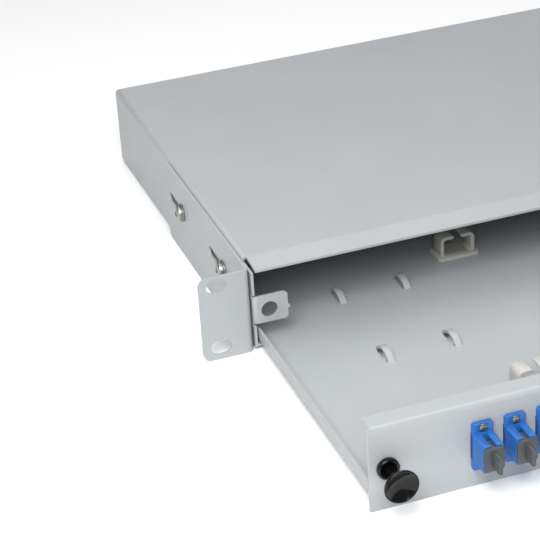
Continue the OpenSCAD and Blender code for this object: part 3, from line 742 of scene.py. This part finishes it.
def cassette(size):
    """A splice cassette from above: walls with entries, two spools, hubs and retaining tabs."""
    w, d, h = size
    wall, floor_t, corner = 1.6, 1.6, 18.0
    floor = floor_t - h
    entry_y, entry_w = 22.0, 12.0
    body = Shape().prism(rounded(w, d, corner, 10), -h, 0)
    body.cut(Shape().prism(rounded(w - 2 * wall, d - 2 * wall, corner - wall, 10), floor, 1))
    for sx in (-1, 1):
        for sy in (-1, 1):
            x, y = sx * w / 2, sy * entry_y
            body.cut(Shape().block((x - 3, y - entry_w / 2, floor + 1), (x + 3, y + entry_w / 2, 1)))
        body.drill(STUD_HOLE_R, h + 1, 32, x=sx * STUD_X)
    body.soften(0.3)
    for sx in (-1, 1):
        body.add(spool(floor).clean(), Matrix.Translation((sx * STUD_X, 0, 0)))
    # tabs that keep the fibre down along the walls
    tab = Shape().prism(rounded(11, 7, 1.5, 4), -1.0, 0).soften(0.25)
    inset, sink = 4.2, -0.1
    for x in (-34, 0, 34):
        for sy in (-1, 1):
            body.add(tab, Matrix.Translation((x, sy * (d / 2 - inset), sink)))
    side_tab = Matrix.Rotation(TURN / 4, 4, "Z")
    for sx in (-1, 1):
        body.add(tab, Matrix.Translation((sx * (w / 2 - inset), 0, sink)) @ side_tab)
    # low bars in front of the combs and behind them
    comb_x, bar_x, bar_z = 11, 10.6, floor + 2
    for sx in (-1, 1):
        for y0, y1 in ((-10.6, -9.2), (9.2, 10.6)):
            x = sx * comb_x
            body.add(Shape().block((x - bar_x, y0, floor), (x + bar_x, y1, bar_z)).soften(0.2))
    return body


def spool(floor):
    """A spool in four parts round a hub, each with a tab that keeps the fibre down."""
    radius, wall, top = 22.0, 1.4, -2.0
    reel = Shape().turned([
        (2.25, floor), (2.25, -0.3), (2.55, 0), (4.1, 0), (4.5, -0.4), (4.5, floor + 1.4),
        (5.4, floor)
    ], 40, ring=True)
    gap = math.asin(3.5 / radius)
    for i in range(4):
        middle = TURN / 8 + i * TURN / 4
        reel.turned([
            (radius - wall, floor - 0.1), (radius, floor - 0.1), (radius, top - 0.2), (radius - 0.2, top),
            (radius - wall + 0.2, top), (radius - wall, top - 0.2)
        ], 14, ring=True, arc=(middle - TURN / 8 + gap, middle + TURN / 8 - gap))
        reel.turned([
            (radius - 1.3, top - 0.9), (radius + 4.2, top - 0.9), (radius + 4.6, top - 0.6),
            (radius + 4.6, top - 0.3), (radius + 4.2, top), (radius - 1.3, top)
        ], 8, ring=True, arc=(middle - 0.2, middle + 0.2))
    return reel


def comb(size):
    """A comb with six grooves for splices, from above."""
    w, d, h = size
    pitch, groove, depth = 2.9, 1.6, 3.6
    grooves = 6
    outline = [(-d / 2, -h), (d / 2, -h), (d / 2, 0)]
    for i in range(grooves):
        y = ((grooves - 1) / 2 - i) * pitch
        outline += [(y + groove / 2, 0)]
        outline += arc_points(y, -depth + groove / 2, groove / 2, 0, -180, 6)
        outline += [(y - groove / 2, 0)]
    outline += [(-d / 2, 0)]
    turn = Matrix.Rotation(TURN / 4, 4, "Z") @ Matrix.Rotation(TURN / 4, 4, "X")
    return Shape().add(Shape().prism(outline, -w / 2, w / 2).soften(0.18), turn)


def cassette_lid(size):
    """The clear lid from above: a plate with a low rim, two stud holes and a finger notch each side."""
    w, d, t = size
    corner, rim, sink = 17.7, 2.0, 0.4
    lid = Shape().prism(rounded(w, d, corner, 12), -t, 0)
    lid.cut(Shape().prism(rounded(w - 2 * rim, d - 2 * rim, corner - rim, 12), -sink, 1))
    notch_r, notch_bite = 9.0, 4.5
    for sx in (-1, 1):
        lid.drill(notch_r, t + 1, 40, x=sx * (w / 2 + notch_r - notch_bite))
        lid.drill(STUD_HOLE_R, t + 1, 32, x=sx * STUD_X)
    return lid.soften(0.15)


def thumb_nut(size):
    """A thumb nut from above: a fluted grip on a wider foot."""
    radius, height, bore = size[0] / 2, size[2], 2.05
    grip = fluted(radius - 0.9, 0.45, 24)
    return Shape().turned([
        (bore, -0.5), (2.6, -0.25), (3.4, -0.25), (3.7, 0), (radius - 1.9, 0), (grip, -0.7),
        (grip, 1.7 - height), (radius - 0.6, 1.3 - height), (radius, 0.9 - height), (radius, 0.3 - height),
        (radius - 0.3, -height), (bore, -height)
    ], 96, ring=True)


def fibre_clip(size):
    """A saddle clip from above: an open loop with turned-out lips, on a rounded foot."""
    w, d, h = size
    thick, loop_w, loop_half, corner, half_gap = 1.8, 18.0, 4.5, 3.0, 2.2
    x, r = loop_w / 2 - thick / 2, corner - thick / 2
    top, low = -thick / 2, -h + thick / 2
    path = [(half_gap + 0.6, top)]
    path += arc_points(x - r, top - r, r, 90, 0, 6) + arc_points(x - r, low + r, r, 0, -90, 6)
    path += arc_points(r - x, low + r, r, -90, -180, 6) + arc_points(r - x, top - r, r, 180, 90, 6)
    path += [(-half_gap - 0.6, top)]
    loop = Shape().prism(band(path, thick), -loop_half, loop_half).soften(0.3)
    foot = Shape().prism(rounded(w, d, 2.5, 5), -h, -h + thick).soften(0.35)
    return foot.add(loop, Matrix.Rotation(TURN / 4, 4, "X"))


def make_cassettes():
    makers = (("cassette_lower", cassette), ("cassette_upper", cassette), ("cassette_lid", cassette_lid))
    for name, shape_for in makers:
        box = box_of(name)
        stand_in(name, shape_for(box[1] - box[0]).mesh(name), spot(box, "top"))
    for name in ("splice_combs_lower", "splice_combs_upper"):
        repeat(name, comb, upward)
    repeat("cassette_studs", lambda s: threaded_rod(s[0] / 2, s[2], 0.7, plain=18), upward)
    repeat("cassette_thumb_nuts", thumb_nut, upward)
    repeat("fibre_clips", fibre_clip, upward)


# ---------------------------------------------------------------- rear wall


# The thread of the glands and the blanking plugs: its radius, pitch and depth
ENTRY_THREAD = 8.0
ENTRY_PITCH = 1.5
ENTRY_DEPTH = 0.8


def gland_body(size):
    """The gland's body from its outer end: neck, hexagon and the thread that goes through the wall."""
    flats, length = size[2], size[1]
    bore, neck, thread, neck_len, hex_len = 5.2, 7.8, ENTRY_THREAD, 6.0, 5.0
    foot = -neck_len - hex_len
    profile = [(bore, -0.3), (bore + 0.4, 0), (neck - 0.5, 0), (neck, -0.5), (neck, -neck_len)]
    profile += [(hexagon(flats, flats / 2 * 1.06), -neck_len), (hexagon(flats), -neck_len - 0.7)]
    profile += [(hexagon(flats), foot + 0.7), (hexagon(flats, flats / 2 * 1.06), foot)]
    profile += [(thread, foot)] + screw_thread(thread, foot, 0.8 - length, ENTRY_PITCH, ENTRY_DEPTH)
    profile += [(thread - ENTRY_DEPTH, -length), (bore + 0.3, -length), (bore, 0.3 - length)]
    return Shape().turned(profile, 96, ring=True)


def gland_dome_nut(size):
    """The dome nut from its outer end, with fine flutes up the dome."""
    flats, length = size[2], size[1]
    hole, dome, dome_len, inner = 4.5, 10.0, 5.0, 7.85
    profile = [(hole, -0.6), (hole + 0.15, -0.2), (hole + 0.5, 0), (hole + 2.6, 0)]
    for i in range(7):
        a = math.radians(58 - 58 * i / 6)
        z = dome * math.sin(a) - dome_len
        if z < -0.15:
            profile.append((fluted(dome * math.cos(a), 0.25 if 0 < i < 6 else 0.0, 24), z))
    profile += [(hexagon(flats, flats / 2 * 1.03), -dome_len), (hexagon(flats), -dome_len - 0.9)]
    profile += [(hexagon(flats), 0.7 - length), (hexagon(flats, flats / 2 * 1.05), -length)]
    profile += [(inner + 0.35, -length), (inner, 0.4 - length), (inner, -dome_len - 0.6)]
    profile += [(hole, -dome_len - 0.6)]
    return Shape().turned(profile, 144, ring=True)


def gland_seal(size):
    """The rubber ring inside the dome nut, from its outer end."""
    radius, length, bore = size[0] / 2, size[1], 3.5
    return Shape().turned([
        (bore, -0.6), (bore + 0.2, -0.15), (bore + 0.6, 0), (radius - 0.5, 0), (radius, -0.5),
        (radius, 0.4 - length), (radius - 0.4, -length), (bore + 0.4, -length), (bore, 0.4 - length)
    ], 48, ring=True)


def blanking_plug(size):
    """A blanking plug from its head: a hexagon with a coin slot, a round rim and its thread."""
    rim, length = size[0] / 2, size[1]
    flats, head, slot_len, slot_w, slot_depth = 18.0, 4.5, 12.0, 1.6, 1.5
    profile = [(0, 0), (flats / 2 * 0.9, 0), (hexagon(flats, flats / 2 * 1.02), -0.3)]
    profile += [(hexagon(flats), -1.1), (hexagon(flats), 1.2 - head), (rim - 0.5, 1.1 - head)]
    profile += [(rim, 0.8 - head), (rim, 0.2 - head), (rim - 0.2, -head), (ENTRY_THREAD, -head)]
    profile += screw_thread(ENTRY_THREAD, -head, 0.8 - length, ENTRY_PITCH, ENTRY_DEPTH)
    profile += [(ENTRY_THREAD - ENTRY_DEPTH, -length), (0, -length)]
    slot = Shape().block((-slot_len / 2, -slot_w / 2, -slot_depth), (slot_len / 2, slot_w / 2, 1))
    return Shape().turned(profile, 96).cut(slot)


def locknut(flats, thickness):
    return hex_nut(flats, thickness, ENTRY_THREAD + PLAY, 96)


def make_glands():
    makers = (("gland_body_", gland_body), ("gland_dome_nut_", gland_dome_nut), ("gland_seal_", gland_seal))
    for hand in ("left", "right"):
        for name, shape_for in makers:
            box = box_of(name + hand)
            stand_in(name + hand, shape_for(box[1] - box[0]).mesh(name + hand, 30), spot(box, "back"))
        box = box_of("gland_locknut_" + hand)
        nut = locknut(box[1].z - box[0].z, box[1].y - box[0].y)
        stand_in("gland_locknut_" + hand, nut.mesh("locknut"), spot(box, "front"))


def make_earth_stud():
    """The stud with its round foot inside the wall, and its two nuts, one of them on a washer."""
    box = box_of("earth_stud")
    thread, foot, foot_t, nut_flats, nut_t = 3.0, 5.0, 1.6, 10.0, 4.4
    length = box[1].y - box[0].y
    stud = threaded_rod(thread, length - foot_t, 1.0, 1.4, 48)
    stud.turned([(0, foot_t - length), (foot - 0.2, foot_t - length), (foot, foot_t - 0.2 - length),
                 (foot, 0.2 - length), (foot - 0.2, -length), (0, -length)], 40)
    stand_in("earth_stud", stud.mesh("earth_stud"), spot(box, "back"))
    nuts = Shape()
    for box in solids("earth_nuts"):
        nuts.add(hex_nut(nut_flats, nut_t, thread + PLAY), spot(box, "back"))
        washer_t = box[1].y - box[0].y - nut_t
        if washer_t > 0.5:
            below = Matrix.Translation((0, 0, -nut_t))
            nuts.add(washer(6, washer_t, thread + PLAY), spot(box, "back") @ below)
    stand_in("earth_nuts", nuts.mesh("earth_nuts"))


def make_rear():
    make_glands()
    repeat("blanking_plugs", blanking_plug, back)
    repeat("plug_locknuts", lambda s: locknut(s[2], s[1]), front)
    repeat("rear_rivets", rivet, back)
    make_earth_stud()


make_latches()
make_ear_fasteners()
make_panel_fasteners()
make_ports()
make_cassettes()
make_rear()

# ---------------------------------------------------------------- camera, light and floor

# The camera stands to the left of the box, above it, and leans a little.
CAMERA_PLACE = Vector((-0.4484, -0.7562, 0.4511))
CAMERA_AZIMUTH = -17.72
CAMERA_ELEVATION = 28.59
CAMERA_ROLL = -3.885
CAMERA_LENS = 132.64


def make_camera():
    camera = bpy.data.objects.new("camera", bpy.data.cameras.new("camera"))
    bpy.context.scene.collection.objects.link(camera)
    turn = Matrix.Rotation(math.radians(CAMERA_AZIMUTH), 4, "Z")
    tilt = Matrix.Rotation(math.radians(90 - CAMERA_ELEVATION), 4, "X")
    roll = Matrix.Rotation(math.radians(CAMERA_ROLL), 4, "Z")
    camera.matrix_world = Matrix.Translation(CAMERA_PLACE) @ turn @ tilt @ roll
    camera.data.sensor_width = 36
    camera.data.lens = CAMERA_LENS
    camera.data.clip_start = 0.05
    camera.data.clip_end = 50
    bpy.context.scene.camera = camera


def area_light(name, place, target, size, power):
    """A square lamp at place that faces target, and that the camera doesn't see."""
    light = bpy.data.lights.new(name, "AREA")
    light.shape = "SQUARE"
    light.size = size
    light.energy = power
    lamp = bpy.data.objects.new(name, light)
    lamp.location = place
    lamp.rotation_euler = (Vector(target) - Vector(place)).to_track_quat("-Z", "Y").to_euler()
    lamp.visible_camera = False
    bpy.context.scene.collection.objects.link(lamp)


def make_stage(floor_z):
    """A plain pale floor at floor_z, and dim white light from all round."""
    mesh = bpy.data.meshes.new("floor")
    half = 6.0
    corners = [(x * half, y * half, floor_z) for x, y in ((-1, -1), (1, -1), (1, 1), (-1, 1))]
    mesh.from_pydata(corners, [], [(0, 1, 2, 3)])
    mesh.materials.append(floor_paper("floor_paper"))
    floor = bpy.data.objects.new("floor", mesh)
    bpy.context.scene.collection.objects.link(floor)
    world = bpy.data.worlds.new("studio")
    world.use_nodes = True
    background = world.node_tree.nodes["Background"]
    background.inputs["Color"].default_value = (1, 1, 1, 1)
    background.inputs["Strength"].default_value = 0.16
    bpy.context.scene.world = world
    bpy.context.scene.view_settings.view_transform = "Standard"


make_camera()
make_stage(cad_box[0].z)
area_light("key_softbox", (-0.5, -0.7, 0.75), (-0.15, -0.05, 0), 0.7, 12)
area_light("left_softbox", (-0.55, -0.35, 0.85), (-0.15, -0.05, 0), 0.8, 3.6)
area_light("top_softbox", (0.4, 0.9, 2.2), (0, 0.3, 0), 2.4, 32)
